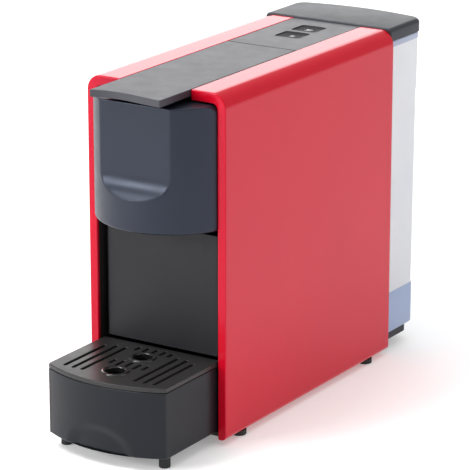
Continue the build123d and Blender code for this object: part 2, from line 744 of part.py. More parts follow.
def capsule_bin():
    """Used-capsule bin whose front wall is the dark column under the head."""
    outer = block(-bin_half_width, bin_half_width, bin_front, bin_rear, bin_bottom, bin_top)
    outer = fillet(outer.edges().filter_by(Axis.Z), 2.5)
    inner_x = bin_half_width - bin_wall
    floor_z = bin_bottom + bin_wall
    outer -= block(-inner_x, inner_x, bin_front + bin_wall, bin_rear - bin_wall, floor_z, bin_top + 1)
    for x in (-24, -12, 0, 12, 24):
        outer -= block(x - 1.5, x + 1.5, -70, -30, bin_bottom - 1, bin_bottom + 3)
    return outer


# ---- water tank ---------------------------------------------------------------------
def tank_body(inset, z0, z1):
    """Tapering block of the tank, smaller by the inset."""
    sections = []
    for z, rear in ((z0, tank_rear_bottom - inset), (z1, tank_rear_top - inset)):
        outline = bowed_outline(tank_half_width - inset, tank_front + inset, rear - tank_bulge, rear,
                                tank_corner - inset)
        sections.append(Plane.XY.offset(z) * outline)
    return loft(sections)


def water_tank():
    """Translucent tank with a rim band and a valve collar in its floor."""
    tank = tank_body(0, tank_bottom, tank_top)
    tank -= tank_body(tank_wall, tank_bottom + 2.4, tank_top + 1)
    tank += rod_z(8.6, 0, tank_port_y, tank_bottom - 4.2, tank_bottom + 1)
    tank -= rod_z(6.4, 0, tank_port_y, tank_bottom - 6, tank_bottom + 4)
    return tank


def tank_valve():
    """Spring valve insert pressed into the tank's collar."""
    body = rod_z(6.35, 0, tank_port_y, tank_bottom - 0.8, tank_bottom + 8)
    body += rod_z(8.0, 0, tank_port_y, tank_bottom + 2.45, tank_bottom + 4)
    body -= rod_z(4.2, 0, tank_port_y, tank_bottom - 2, tank_bottom + 6.5)
    for angle in range(0, 360, 60):
        spoke = Pos(0, tank_port_y, tank_bottom + 6) * Rot(0, 0, angle) * Pos(6, 0, 0) * Box(5, 1.6, 2.4)
        body -= spoke
    return body


def tank_lid():
    """Lid over the tank; its front lip lies over the rear of the casing."""
    outline = bowed_outline(lid_half_width, lid_front, lid_side_end, lid_rear, lid_corner)
    lid = prism_z(outline, lid_bottom, lid_top)
    lid = fillet(lid.faces().sort_by(Axis.Z)[-1].edges().sort_by(Axis.Y)[1:], lid_edge_radius)
    wall = 2.4
    inner = bowed_outline(lid_half_width - wall, tank_front + 0.2, lid_side_end - wall, lid_rear - wall,
                          lid_corner - wall)
    lid -= prism_z(inner, lid_bottom - 1, lid_top - wall)
    fit = tank_wall + 0.6
    collar = bowed_outline(tank_half_width - fit, tank_front + fit, tank_rear_top - tank_bulge - fit,
                           tank_rear_top - fit, tank_corner - fit)
    fit += 1.8
    core = bowed_outline(tank_half_width - fit, tank_front + fit, tank_rear_top - tank_bulge - fit,
                         tank_rear_top - fit, tank_corner - fit)
    ring = prism_z(collar, tank_top - 5.0, lid_top - 1.5) - prism_z(core, tank_top - 6, lid_top)
    return lid + ring


def base_screws():
    """Four screws that hold the floor plate to the inner walls' feet."""
    screws = []
    for side in (-1, 1):
        for y in screw_ys:
            head = rod_z(3.2, side * screw_x, y, base_bottom - 1.6, base_bottom - 0.02)
            head -= Pos(side * screw_x, y, base_bottom - 1.6) * Box(4.0, 0.8, 1.2)
            shank = rod_z(1.5, side * screw_x, y, base_bottom - 0.1, base_top + 5)
            screws.append(head + shank)
    return Compound(children=screws)


# ---- build --------------------------------------------------------------------------
def build_all():
    """Every sub-part by name."""
    cover = right_cover()
    liner = chassis_right()
    parts = {
        "right_side_cover": cover,
        "left_side_cover": mirror(cover, about=Plane.YZ),
        "chassis_right": liner,
        "chassis_left": mirror(liner, about=Plane.YZ),
        "base_plate": base_plate(),
        "back_panel": back_panel(),
        "bay_wall": bay_wall(),
        "tank_seat": tank_seat(),
        "cable_gland": cable_gland(),
        "head_cover": head_cover(),
        "spout_nozzle": spout_nozzle(),
        "brew_deck": brew_deck(),
        "top_deck": top_deck(),
        "brew_cheek_left": brew_cheek(-1),
        "brew_cheek_right": brew_cheek(1),
        "outlet_block": outlet_block(),
        "piercing_plate": piercing_plate(),
        "outlet_seal": ring_y(17.6, 15.0, 0, brew_axis_z, -77.9, -75.4),
        "hinge_pin": rod_x(hinge_pin_radius, hinge_y, hinge_z, -arm_outer_x - 0.6, arm_outer_x + 0.6),
        "thermoblock": thermoblock(),
        "thermostat": rod_z(8.0, 0, 79, 206.2, 212.0),
        "water_pump": water_pump(),
        "pump_mount_front": pump_mount(33.5),
        "pump_mount_rear": pump_mount(86.0),
        "flow_meter": flow_meter(),
        "tank_port": tank_port(),
        "control_board": control_board(),
        "board_bridge": board_posts(),
        "button_panel": button_panel(),
        "base_screws": base_screws(),
        "lever_cover": lever_cover(),
        "lever_arm_left": lever_arm(-1),
        "lever_arm_right": lever_arm(1),
        "brew_chamber": brew_chamber(),
        "injector": injector(),
        "carriage_yoke": carriage_yoke(),
        "cam_pin": rod_x(cam_pin_radius, cam_pin_y, cam_pin_z, -arm_outer_x - 0.4, arm_outer_x + 0.4),
        "guide_pin": rod_x(cam_pin_radius, guide_pin_y, guide_pin_z, -cheek_outer_x, cheek_outer_x),
        "drip_tray": drip_tray(),
        "tray_feet": tray_feet(),
        "drip_grille": drip_grille(),
        "capsule_bin": capsule_bin(),
        "water_tank": water_tank(),
        "tank_valve": tank_valve(),
        "tank_lid": tank_lid(),
    }
    parts.update(water_hoses())
    for name, y in zip(("short_coffee", "long_coffee"), button_ys):
        parts[f"{name}_button"] = button(y)
    for name, y in zip(("front", "rear"), cup_ring_ys):
        parts[f"cup_ring_{name}"] = cup_ring(y)
    for side_name, side in (("left", -1), ("right", 1)):
        for end_name, y in zip(("front", "rear"), foot_ys):
            parts[f"foot_{end_name}_{side_name}"] = rubber_foot(side, y)
    return parts


os.makedirs("parts", exist_ok=True)
for part_name, part_shape in build_all().items():
    save(part_name, part_shape)
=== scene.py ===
import json
from math import asin, atan2, cos, degrees, hypot, pi, radians, sin, sqrt, tan

import bmesh
import bpy
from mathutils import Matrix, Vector


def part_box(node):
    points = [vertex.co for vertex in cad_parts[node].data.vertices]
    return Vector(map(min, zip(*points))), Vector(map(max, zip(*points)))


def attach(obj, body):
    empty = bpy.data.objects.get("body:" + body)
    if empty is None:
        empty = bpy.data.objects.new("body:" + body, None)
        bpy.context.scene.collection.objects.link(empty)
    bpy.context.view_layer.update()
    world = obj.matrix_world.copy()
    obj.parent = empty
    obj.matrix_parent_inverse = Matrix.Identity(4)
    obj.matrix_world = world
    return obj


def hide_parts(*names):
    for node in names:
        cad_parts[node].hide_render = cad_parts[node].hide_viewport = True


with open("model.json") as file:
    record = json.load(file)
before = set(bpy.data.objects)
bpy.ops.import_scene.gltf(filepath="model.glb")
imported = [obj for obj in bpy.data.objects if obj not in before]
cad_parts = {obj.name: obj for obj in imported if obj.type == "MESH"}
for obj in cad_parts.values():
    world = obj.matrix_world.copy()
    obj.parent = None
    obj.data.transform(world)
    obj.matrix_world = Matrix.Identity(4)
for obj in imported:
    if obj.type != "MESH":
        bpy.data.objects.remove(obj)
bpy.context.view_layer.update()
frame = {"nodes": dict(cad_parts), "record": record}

MM = 0.001

# ---- measures taken from the frame ------------------------------------------------------
cover_lo, cover_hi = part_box("right_side_cover")
head_lo, head_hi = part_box("head_cover")
lever_lo, lever_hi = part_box("lever_cover")
tray_lo, tray_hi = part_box("drip_tray")
grille_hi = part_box("drip_grille")[1]
bin_lo, bin_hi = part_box("capsule_bin")
tank_lo, tank_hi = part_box("water_tank")
lid_lo, lid_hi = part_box("tank_lid")
panel_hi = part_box("button_panel")[1]


# ---- mesh helpers -----------------------------------------------------------------------
def arc(cx, cy, radius, start, end, steps):
    """Points on a circle from one angle to another, both ends included, degrees."""
    turns = [radians(start + (end - start) * i / steps) for i in range(steps + 1)]
    return [(cx + radius * cos(t), cy + radius * sin(t)) for t in turns]


def rounded(corners, steps=8):
    """Closed outline from (x, y, radius) corners; a radius of 0 keeps the corner sharp."""
    outline = []
    count = len(corners)
    for i, (x, y, radius) in enumerate(corners):
        here = Vector((x, y))
        if radius <= 0:
            outline.append((x, y))
            continue
        before = Vector(corners[i - 1][:2]) - here
        after = Vector(corners[(i + 1) % count][:2]) - here
        before.normalize()
        after.normalize()
        half = before.angle(after) / 2
        reach = radius / tan(half)
        first = here + before * reach
        last = here + after * reach
        centre = here + (before + after).normalized() * (radius / sin(half))
        start = atan2(first.y - centre.y, first.x - centre.x)
        sweep = atan2(last.y - centre.y, last.x - centre.x) - start
        sweep = (sweep + pi) % (2 * pi) - pi
        for k in range(steps + 1):
            angle = start + sweep * k / steps
            outline.append((centre.x + radius * cos(angle), centre.y + radius * sin(angle)))
    return outline


def box_outline(x0, x1, y0, y1, radius, steps=8):
    """Rectangle with round corners."""
    return rounded([(x0, y0, radius), (x1, y0, radius), (x1, y1, radius), (x0, y1, radius)], steps)


def bowed(half, front, side_end, rear, corner, front_radius=0.0, steps=28):
    """Plan outline with a straight front, straight sides and a bowed rear edge."""
    rise = rear - side_end
    radius = (half * half + rise * rise) / (2 * rise)
    centre_y = rear - radius
    inner = radius - corner
    corner_x = half - corner
    corner_y = centre_y + sqrt(inner * inner - corner_x * corner_x)
    blend = degrees(atan2(corner_y - centre_y, corner_x))
    outline = rounded([(-half, corner_y, 0), (-half, front, front_radius), (half, front, front_radius),
                       (half, corner_y, 0)])
    outline += arc(corner_x, corner_y, corner, 0, blend, 10)[1:]
    outline += arc(0, centre_y, radius, blend, 180 - blend, steps)[1:]
    outline += arc(-corner_x, corner_y, corner, 180 - blend, 180, 10)[1:-1]
    return outline


def new_object(name, mesh):
    """Object of that mesh, linked to the scene."""
    piece = bpy.data.objects.new(name, mesh)
    bpy.context.scene.collection.objects.link(piece)
    return piece


def finish_mesh(name, bm):
    """Object from a bmesh, with clean outward normals and smooth shading."""
    bmesh.ops.remove_doubles(bm, verts=bm.verts, dist=2e-6)
    bmesh.ops.dissolve_degenerate(bm, edges=bm.edges, dist=1e-6)
    bmesh.ops.recalc_face_normals(bm, faces=bm.faces)
    mesh = bpy.data.meshes.new(name)
    bm.to_mesh(mesh)
    bm.free()
    mesh.shade_smooth()
    return new_object(name, mesh)


def add_loops(bm, loops, cap_start=True, cap_end=True):
    """Skin closed loops of equal length, each a list of (x, y, z), with end caps."""
    rings = [[bm.verts.new(point) for point in loop] for loop in loops]
    count = len(rings[0])
    for low, high in zip(rings, rings[1:]):
        for i in range(count):
            j = (i + 1) % count
            bm.faces.new((low[i], low[j], high[j], high[i]))
    if cap_start:
        bm.faces.new(rings[0][::-1])
    if cap_end:
        bm.faces.new(rings[-1])
    return rings


def loops_piece(name, loops, cap_start=True, cap_end=True):
    """Object skinned over closed loops."""
    bm = bmesh.new()
    add_loops(bm, loops, cap_start, cap_end)
    return finish_mesh(name, bm)


def at_height(outline, z):
    """Plan outline as points at a height."""
    return [(x, y, z) for x, y in outline]


def fill_between(bm, outlines, z):
    """Flat face inside the first outline and outside the others."""
    edges = []
    rings = []
    for outline in outlines:
        ring = [bm.verts.new((x, y, z)) for x, y in outline]
        rings.append(ring)
        for i, vert in enumerate(ring):
            edges.append(bm.edges.new((vert, ring[(i + 1) % len(ring)])))
    bmesh.ops.triangle_fill(bm, use_beauty=True, use_dissolve=False, edges=edges)
    return rings


def join_rings(bm, low, high):
    """Wall between two rings of vertices."""
    for i, vert in enumerate(low):
        j = (i + 1) % len(low)
        bm.faces.new((vert, low[j], high[j], high[i]))


def slab(name, outer, z0, z1, holes=(), pockets=(), floor_z=None):
    """Flat plate with through holes, and pockets open at z0 whose floors are at floor_z."""
    bm = bmesh.new()
    open_side = fill_between(bm, [outer, *holes, *pockets], z0)
    shut_side = fill_between(bm, [outer, *holes], z1)
    for low, high in zip(open_side, shut_side):
        join_rings(bm, low, high)
    for ring, outline in zip(open_side[1 + len(holes):], pockets):
        join_rings(bm, ring, fill_between(bm, [outline], floor_z)[0])
    bmesh.ops.dissolve_limit(bm, angle_limit=radians(1), verts=[], edges=bm.edges)
    return finish_mesh(name, bm)


def lathe(name, profile, x, y, steps=48):
    """Closed profile of (radius, z) turned about a vertical axis."""
    bm = bmesh.new()
    rings = []
    for k in range(steps):
        turn = 2 * pi * k / steps
        rings.append([bm.verts.new((x + r * cos(turn), y + r * sin(turn), z)) for r, z in profile])
    for k in range(steps):
        join_rings(bm, rings[k], rings[(k + 1) % steps])
    return finish_mesh(name, bm)


def soften(piece, width, segments=3, angle=40):
    """Round the sharp edges and keep the flats flat."""
    bevel = piece.modifiers.new("edge_round", "BEVEL")
    bevel.width = width
    bevel.segments = segments
    bevel.limit_method = "ANGLE"
    bevel.angle_limit = radians(angle)
    bevel.use_clamp_overlap = False
    normals = piece.modifiers.new("flat_shading", "WEIGHTED_NORMAL")
    normals.keep_sharp = True
    return piece


def place(piece, body, material, slot, *nodes):
    """Give the piece its material and its body, and hide the CAD nodes it stands for."""
    piece.data.materials.clear()
    piece.data.materials.append(material)
    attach(piece, body)
    if nodes:
        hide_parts(*nodes)
    return piece


# ---- materials --------------------------------------------------------------------------
def start_material(name):
    """Node material with object coordinates; returns it with its tree and shader."""
    material = bpy.data.materials.new(name)
    material.use_nodes = True
    tree = material.node_tree
    shader = tree.nodes["Principled BSDF"]
    return material, tree, shader


def noise(tree, scale, detail=3.0, roughness=0.5):
    """Noise in object coordinates, in cycles per metre."""
    coordinates = tree.nodes.new("ShaderNodeTexCoord")
    texture = tree.nodes.new("ShaderNodeTexNoise")
    texture.inputs["Scale"].default_value = scale
    texture.inputs["Detail"].default_value = detail
    texture.inputs["Roughness"].default_value = roughness
    tree.links.new(coordinates.outputs["Object"], texture.inputs["Vector"])
    return texture.outputs["Fac"]


def remap(tree, value, low, high, source=(0.3, 0.7)):
    """Spread a value over a new range."""
    node = tree.nodes.new("ShaderNodeMapRange")
    node.inputs["From Min"].default_value = source[0]
    node.inputs["From Max"].default_value = source[1]
    node.inputs["To Min"].default_value = low
    node.inputs["To Max"].default_value = high
    tree.links.new(value, node.inputs["Value"])
    return node.outputs["Result"]


def tint(tree, value, color, spread):
    """Colour that drifts a little lighter and darker with the value."""
    ramp = tree.nodes.new("ShaderNodeValToRGB")
    ramp.color_ramp.elements[0].position = 0.3
    ramp.color_ramp.elements[1].position = 0.7
    ramp.color_ramp.elements[0].color = [c * (1 - spread) for c in color] + [1]
    ramp.color_ramp.elements[1].color = [min(1, c * (1 + spread)) for c in color] + [1]
    tree.links.new(value, ramp.inputs["Fac"])
    return ramp.outputs["Color"]


def bump(tree, heights, distance):
    """Normal from stacked height fields, each a (value, strength) pair."""
    normal = None
    for value, strength in heights:
        node = tree.nodes.new("ShaderNodeBump")
        node.inputs["Strength"].default_value = strength
        node.inputs["Distance"].default_value = distance
        tree.links.new(value, node.inputs["Height"])
        if normal is not None:
            tree.links.new(normal, node.inputs["Normal"])
        normal = node.outputs["Normal"]
    return normal


def plastic(name, color, rough, rough_spread=0.06, grain=0.12, grain_scale=2600, spread=0.06, specular=0.5,
            coat=0.0, coat_rough=0.1, painted_blue_reflection=0.0):
    """Moulded plastic: spark-eroded grain, uneven gloss, slight colour drift and a painted bluish tint on the
    reflections.
    """
    material, tree, shader = start_material(name)
    cloud = noise(tree, 34, 4)
    tree.links.new(tint(tree, cloud, color, spread), shader.inputs["Base Color"])
    tree.links.new(remap(tree, noise(tree, 90, 5, 0.6), rough - rough_spread, rough + rough_spread),
                   shader.inputs["Roughness"])
    fine = noise(tree, grain_scale, 2)
    broad = noise(tree, 120, 3)
    tree.links.new(bump(tree, [(fine, grain), (broad, 0.02)], 0.0002), shader.inputs["Normal"])
    shader.inputs["Specular IOR Level"].default_value = specular
    # bluish tint on the reflections: painted reflection colour that stands in for bluish light, the lamps
    # being white
    shader.inputs["Specular Tint"].default_value = (1.0 - painted_blue_reflection, 1.0 - painted_blue_reflection * 0.7, 1.0, 1.0)
    shader.inputs["Coat Weight"].default_value = coat
    shader.inputs["Coat Roughness"].default_value = coat_rough
    return material


def metal(name, color, rough, stretch=(1, 1, 1), scale=400, strength=0.12):
    """Metal with a directional or isotropic finish."""
    material, tree, shader = start_material(name)
    coordinates = tree.nodes.new("ShaderNodeTexCoord")
    mapping = tree.nodes.new("ShaderNodeMapping")
    mapping.inputs["Scale"].default_value = stretch
    texture = tree.nodes.new("ShaderNodeTexNoise")
    texture.inputs["Scale"].default_value = scale
    texture.inputs["Detail"].default_value = 6
    tree.links.new(coordinates.outputs["Object"], mapping.inputs["Vector"])
    tree.links.new(mapping.outputs["Vector"], texture.inputs["Vector"])
    streaks = texture.outputs["Fac"]
    tree.links.new(tint(tree, streaks, color, 0.1), shader.inputs["Base Color"])
    tree.links.new(remap(tree, streaks, rough * 0.7, rough * 1.3), shader.inputs["Roughness"])
    tree.links.new(bump(tree, [(streaks, strength)], 0.0001), shader.inputs["Normal"])
    shader.inputs["Metallic"].default_value = 1.0
    return material


def red_gloss():
    """Deep glossy red with a faint orange peel and hairline polish marks."""
    material, tree, shader = start_material("red_gloss")
    tree.links.new(tint(tree, noise(tree, 12, 3), (0.54, 0.002, 0.014), 0.03), shader.inputs["Base Color"])
    tree.links.new(remap(tree, noise(tree, 260, 6, 0.7), 0.09, 0.15), shader.inputs["Roughness"])
    peel = noise(tree, 420, 1)
    sink = noise(tree, 16, 2)
    tree.links.new(bump(tree, [(peel, 0.010), (sink, 0.05)], 0.0004), shader.inputs["Normal"])
    shader.inputs["Specular Tint"].default_value = (1.0, 0.35, 0.55, 1.0)
    return material


def tank_plastic(name, color, rough, clear):
    """Translucent moulded plastic, slightly milky, with a soft haze and flow marks."""
    material, tree, shader = start_material(name)
    tree.links.new(tint(tree, noise(tree, 22, 3), color, 0.03), shader.inputs["Base Color"])
    tree.links.new(remap(tree, noise(tree, 140, 4), rough - 0.06, rough + 0.08), shader.inputs["Roughness"])
    tree.links.new(bump(tree, [(noise(tree, 60, 1), 0.02), (noise(tree, 18, 1), 0.02)], 0.0002),
                   shader.inputs["Normal"])
    shader.inputs["Transmission Weight"].default_value = clear
    shader.inputs["IOR"].default_value = 1.49
    return material


materials = {
    "red_gloss": red_gloss(),
    # the bluish reflection tints below are painted reflection colour that stands in for bluish light
    "charcoal_satin": plastic("charcoal_satin", (0.010, 0.012, 0.020), 0.36, 0.04, 0.05,
                  spread=0.03, specular=0.50, painted_blue_reflection=0.30),
    "tray_satin": plastic("tray_satin", (0.007, 0.008, 0.010), 0.34, 0.04, 0.05, spread=0.03, specular=0.28,
                  painted_blue_reflection=0.15),
    "dark_satin": plastic("dark_satin", (0.014, 0.014, 0.017), 0.42, 0.04, 0.08, spread=0.03, specular=0.30),
    "grille_satin": plastic("grille_satin", (0.024, 0.023, 0.023), 0.38, 0.04, 0.06,
                  spread=0.03, specular=0.36),
    "column_satin": plastic("column_satin", (0.016, 0.016, 0.019), 0.46, 0.04, 0.08,
                  spread=0.03, specular=0.30),
    "black_matte": plastic("black_matte", (0.018, 0.016, 0.016), 0.60, 0.05, 0.12,
                  spread=0.04, specular=0.35),
    "lever_satin": plastic("lever_satin", (0.044, 0.043, 0.052), 0.42, 0.03, 0.04, spread=0.02, specular=0.50,
                  painted_blue_reflection=0.10),
    "lid_grey": plastic("lid_grey", (0.020, 0.021, 0.027), 0.44, 0.03, 0.05, spread=0.02, specular=0.50,
                  painted_blue_reflection=0.10),
    "panel_grey": plastic("panel_grey", (0.048, 0.046, 0.055), 0.42, 0.03, 0.05, spread=0.02, specular=0.50,
                  painted_blue_reflection=0.10),
    "button_dark": plastic("button_dark", (0.012, 0.012, 0.015), 0.62, 0.04, 0.06,
                  spread=0.03, specular=0.20),
    "icon_grey": plastic("icon_grey", (0.50, 0.50, 0.52), 0.5, grain=0.05),
    "gloss_black": plastic("gloss_black", (0.010, 0.010, 0.011), 0.10, 0.03, grain=0.01, coat=0.5),
    "rubber_black": plastic("rubber_black", (0.016, 0.016, 0.016), 0.75, grain=0.30, grain_scale=1500),
    "seat_grey": plastic("seat_grey", (0.026, 0.027, 0.036), 0.5, 0.04, 0.08, spread=0.03, specular=0.25),
    "white_plastic": plastic("white_plastic", (0.62, 0.60, 0.55), 0.42, grain=0.10),
    "board_green": plastic("board_green", (0.015, 0.13, 0.05), 0.30, grain=0.06),
    "silicone_hose": plastic("silicone_hose", (0.60, 0.60, 0.56), 0.30, grain=0.05),
    "steel": metal("steel", (0.56, 0.56, 0.57), 0.30, (1, 14, 14)),
    "screw_steel": metal("screw_steel", (0.50, 0.50, 0.51), 0.26),
    "aluminium_cast": metal("aluminium_cast", (0.60, 0.61, 0.62), 0.48, scale=900, strength=0.4),
    "tank_clear": tank_plastic("tank_clear", (0.93, 0.945, 1.0), 0.36, 0.42),
    "tank_base_blue": tank_plastic("tank_base_blue", (0.40, 0.50, 0.74), 0.36, 0.35),
    "tank_rim_blue": tank_plastic("tank_rim_blue", (0.42, 0.47, 0.62), 0.38, 0.25),
}


# ---- outer casing -----------------------------------------------------------------------
WALL = 2.8 * MM
RIM = 6.5 * MM
RIM_TOP = 7.5 * MM
RIM_DEPTH = 3.0 * MM
TOP_RADIUS = 11.0 * MM
FOOT_RADIUS = 4.0 * MM
FOOT_FLANGE_X = 43.0 * MM
FOOT_FLANGE_SETBACK = 12.0 * MM
EDGE_STEPS = 14


def cover_section(side, top, flange_x):
    """Section of the right cover in X, Z, with its bottom flange reaching in to flange_x."""
    half = cover_hi.x
    z1 = cover_hi.z
    z0 = cover_lo.z
    inner_x = cover_lo.x
    foot_top = z0 + 2.1 * MM
    outer_centre = (half - TOP_RADIUS, z1 - TOP_RADIUS)
    inner_radius = max(TOP_RADIUS - side, 2.5 * MM)
    inner_centre = (half - side - inner_radius, z1 - top - inner_radius)
    foot_centre = (half - FOOT_RADIUS, z0 + FOOT_RADIUS)
    path = [(inner_x, z1)]
    path += arc(*outer_centre, TOP_RADIUS, 90, 0, EDGE_STEPS)
    path += arc(*foot_centre, FOOT_RADIUS, 0, -90, EDGE_STEPS)
    path += [(flange_x, z0), (flange_x, foot_top), (half - side, foot_top)]
    path += arc(*inner_centre, inner_radius, 0, 90, EDGE_STEPS)
    path += [(inner_x, z1 - top)]
    return path


def side_cover(side, name):
    """Glossy C-shaped cover with a thick front rim."""
    front = cover_lo.y
    rear = cover_hi.y
    stub_x = cover_hi.x - RIM - 0.05 * MM  # just inside the rim, so that the section stays simple
    setback = front + FOOT_FLANGE_SETBACK
    rim = cover_section(RIM, RIM_TOP, stub_x)
    thin = cover_section(WALL, WALL, stub_x)
    rest = cover_section(WALL, WALL, FOOT_FLANGE_X)
    stations = [(rim, front), (rim, front + RIM_DEPTH), (thin, front + RIM_DEPTH), (thin, setback),
                (rest, setback), (rest, rear)]
    loops = [[(side * x, y, z) for x, z in section] for section, y in stations]
    piece = loops_piece(name, loops)
    soften(piece, 0.8 * MM, 4, 50)
    return place(piece, "housing", materials["red_gloss"], "red_gloss", name)


# ---- head -------------------------------------------------------------------------------
HEAD_RADIUS = 53.8 * MM
HEAD_CENTRE_Y = head_lo.y + HEAD_RADIUS
RECESS_HALF = 28.3 * MM
SCOOP_RADIUS = 20.0 * MM
SCOOP_Z = 192.0 * MM
HEAD_LOW_CORNER = 1.5 * MM
HEAD_TOP_CORNER = 5.5 * MM


def soft_max(a, b, k):
    """Larger of two values with a small round blend."""
    h = max(k - abs(a - b), 0) / k
    return max(a, b) + h * h * k * 0.25


def head_front(x, z, inset):
    """Y of the head's front skin, with the flat recess and its scoop."""
    radius = HEAD_RADIUS - inset
    surface = HEAD_CENTRE_Y - sqrt(max(radius * radius - x * x, 0))
    flat = HEAD_CENTRE_Y - sqrt(HEAD_RADIUS ** 2 - RECESS_HALF ** 2)
    if z >= SCOOP_Z:
        cut = flat
    else:
        drop = min(SCOOP_Z - z, SCOOP_RADIUS)
        cut = flat - SCOOP_RADIUS + sqrt(SCOOP_RADIUS ** 2 - drop * drop)
    return soft_max(surface, cut, 0.5 * MM)


def corner_rise(x, half, radius):
    """Height by which a rounded lower corner lifts the edge at x."""
    over = abs(x) - (half - radius)
    if over <= 0:
        return 0.0
    return radius - sqrt(max(radius * radius - over * over, 0))


def head_cover():
    """Bulging front cover made of slices from side to side."""
    half = head_hi.x
    rear = head_hi.y
    columns = 150
    rows = 150
    round_low = 1.6 * MM
    round_top = 0.8 * MM
    loops = []
    for i in range(columns + 1):
        x = half * sin(pi / 2 * (2 * i / columns - 1)) * 0.35 + half * (2 * i / columns - 1) * 0.65
        low = head_lo.z + corner_rise(x, half, HEAD_LOW_CORNER)
        top = head_hi.z - corner_rise(x, half, HEAD_TOP_CORNER)
        loop = [(x, rear, low)]
        for k in range(5):
            turn = pi / 2 * k / 5
            inset = round_low * (1 - sin(turn))
            z = low + round_low * (1 - cos(turn))
            loop.append((x, min(head_front(x, z, inset), rear - 0.1 * MM), z))
        for k in range(rows + 1):
            z = low + round_low + (top - round_top - low - round_low) * k / rows
            loop.append((x, min(head_front(x, z, 0), rear - 0.1 * MM), z))
        for k in range(1, 5):
            turn = pi / 2 * k / 4
            z = top - round_top * (1 - sin(turn))
            inset = round_top * (1 - cos(turn))
            loop.append((x, min(head_front(x, z, 0) + inset, rear - 0.1 * MM), z))
        loop.append((x, rear, top))
        loops.append(loop)
    piece = loops_piece("head_shell", loops)
    piece.data.set_sharp_from_angle(angle=radians(50))
    return place(piece, "housing", materials["charcoal_satin"], "charcoal_satin", "head_cover")


def nozzle():
    """Round outlet under the head with a drip lip, and the duct that feeds it."""
    lo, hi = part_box("spout_nozzle")
    collar = 11.0 * MM
    y = lo.y + collar
    outer = 9.0 * MM
    bore = 6.6 * MM
    collar_z = head_lo.z + 3.2 * MM
    profile = [(bore, lo.z + 15 * MM), (bore, lo.z + 0.8 * MM), (bore + 0.6 * MM, lo.z + 0.1 * MM),
               (outer - 0.9 * MM, lo.z), (outer - 0.2 * MM, lo.z + 0.5 * MM), (outer, lo.z + 1.4 * MM),
               (outer, collar_z), (collar, collar_z), (collar, collar_z + 1.8 * MM),
               (outer, collar_z + 1.8 * MM), (outer, hi.z), (bore, hi.z)]
    piece = lathe("nozzle_shell", profile, 0.0, y)
    piece.data.set_sharp_from_angle(angle=radians(40))
    place(piece, "housing", materials["dark_satin"], "dark_satin", "spout_nozzle")
    duct = 5.5 * MM
    duct_z = hi.z - duct - 0.5 * MM
    loops = []
    for station in (y + 3 * MM, hi.y):
        loops.append([(px, station, pz) for px, pz in arc(0, duct_z, duct, 0, 350, 35)])
    tube = loops_piece("nozzle_duct", loops)
    tube.data.set_sharp_from_angle(angle=radians(40))
    place(tube, "housing", materials["dark_satin"], "dark_satin")


# ---- lever and button panel -------------------------------------------------------------
pin_lo, pin_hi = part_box("hinge_pin")
HINGE = Vector((0, (pin_lo.y + pin_hi.y) / 2, (pin_lo.z + pin_hi.z) / 2))
LEVER_SWEEP = 9.0 * MM
LEVER_THICKNESS = 5.0 * MM
LEVER_MARGIN = 5.5 * MM
BUTTON_HALF_WIDTH = 10.0 * MM
BUTTON_HALF_DEPTH = 9.2 * MM
BUTTON_HEIGHT = 3.6 * MM
# share of the outline and depth in mm of each ring of a button's dished face
BUTTON_DISH = ((0.985, 0.12), (0.95, 0.0), (0.8, 0.1), (0.6, 0.28), (0.35, 0.42), (0.1, 0.5))
LEVER_RIBS = (-128, -104, -69, -34, -6)  # Y of the cross ribs under the lever, in mm
RIB_HALF = 1
SEAM = 0.7 * MM


def lever_outline():
    """Lever plan: the front edge has a shallow hollow for the fingers."""
    half = lever_hi.x
    hollow = 4.4 * MM
    front = []
    steps = 28
    for k in range(steps + 1):
        share = k / steps
        skew = share ** 0.68
        front.append((-half + 2 * half * share, lever_lo.y + hollow * sin(pi * skew) ** 1.4))
    front[0] = (-half, lever_lo.y + 0.9 * MM)
    front.insert(1, (-half + 0.5 * MM, lever_lo.y + 0.15 * MM))
    front[-1] = (half, lever_lo.y + 0.9 * MM)
    front.insert(-1, (half - 0.5 * MM, lever_lo.y + 0.15 * MM))
    return front


def lever_plate():
    """Lever top plate with ribs below and a rear end that is round about the hinge."""
    half = lever_hi.x
    top = lever_hi.z
    bottom = top - LEVER_THICKNESS
    angle_low = asin((bottom - HINGE.z) / LEVER_SWEEP)
    angle_top = asin((top - HINGE.z) / LEVER_SWEEP)
    rear_y = HINGE.y + LEVER_SWEEP * cos(angle_top)
    outline = lever_outline() + [(half, rear_y), (-half, rear_y)]
    pockets = []
    wall = 2.2 * MM
    for y0, y1 in zip(LEVER_RIBS, LEVER_RIBS[1:]):
        bay = ((y0 + RIB_HALF) * MM, (y1 - RIB_HALF) * MM)
        pockets.append(box_outline(-half + LEVER_MARGIN, half - LEVER_MARGIN, *bay, 1.5 * MM, 4))
    for side in (-1, 1):
        x0, x1 = sorted((side * 20.0 * MM, side * 24.0 * MM))
        pockets.append(box_outline(x0, x1, HINGE.y - 5.4 * MM, HINGE.y + 4.6 * MM, 0.8 * MM, 3))
    plate = slab("lever_plate", outline, bottom, top, pockets=pockets, floor_z=top - wall)
    for vert in plate.data.vertices:
        if vert.co.y > rear_y - 0.1 * MM and vert.co.z < bottom + 0.1 * MM:
            vert.co.y = HINGE.y + LEVER_SWEEP * cos(angle_low)
    soften(plate, 0.45 * MM, 3, 50)
    return place(plate, "lever", materials["lever_satin"], "lid_grey", "lever_cover")


def button_outline(y, grow=0.0):
    """Button shape: round corners and a bowed rear edge."""
    half = BUTTON_HALF_WIDTH + grow
    depth = BUTTON_HALF_DEPTH + grow
    corner = 2.8 * MM
    bow = 1.0 * MM
    return [(px, y + py) for px, py in bowed(half, -depth, depth - bow, depth, corner, corner, 12)]


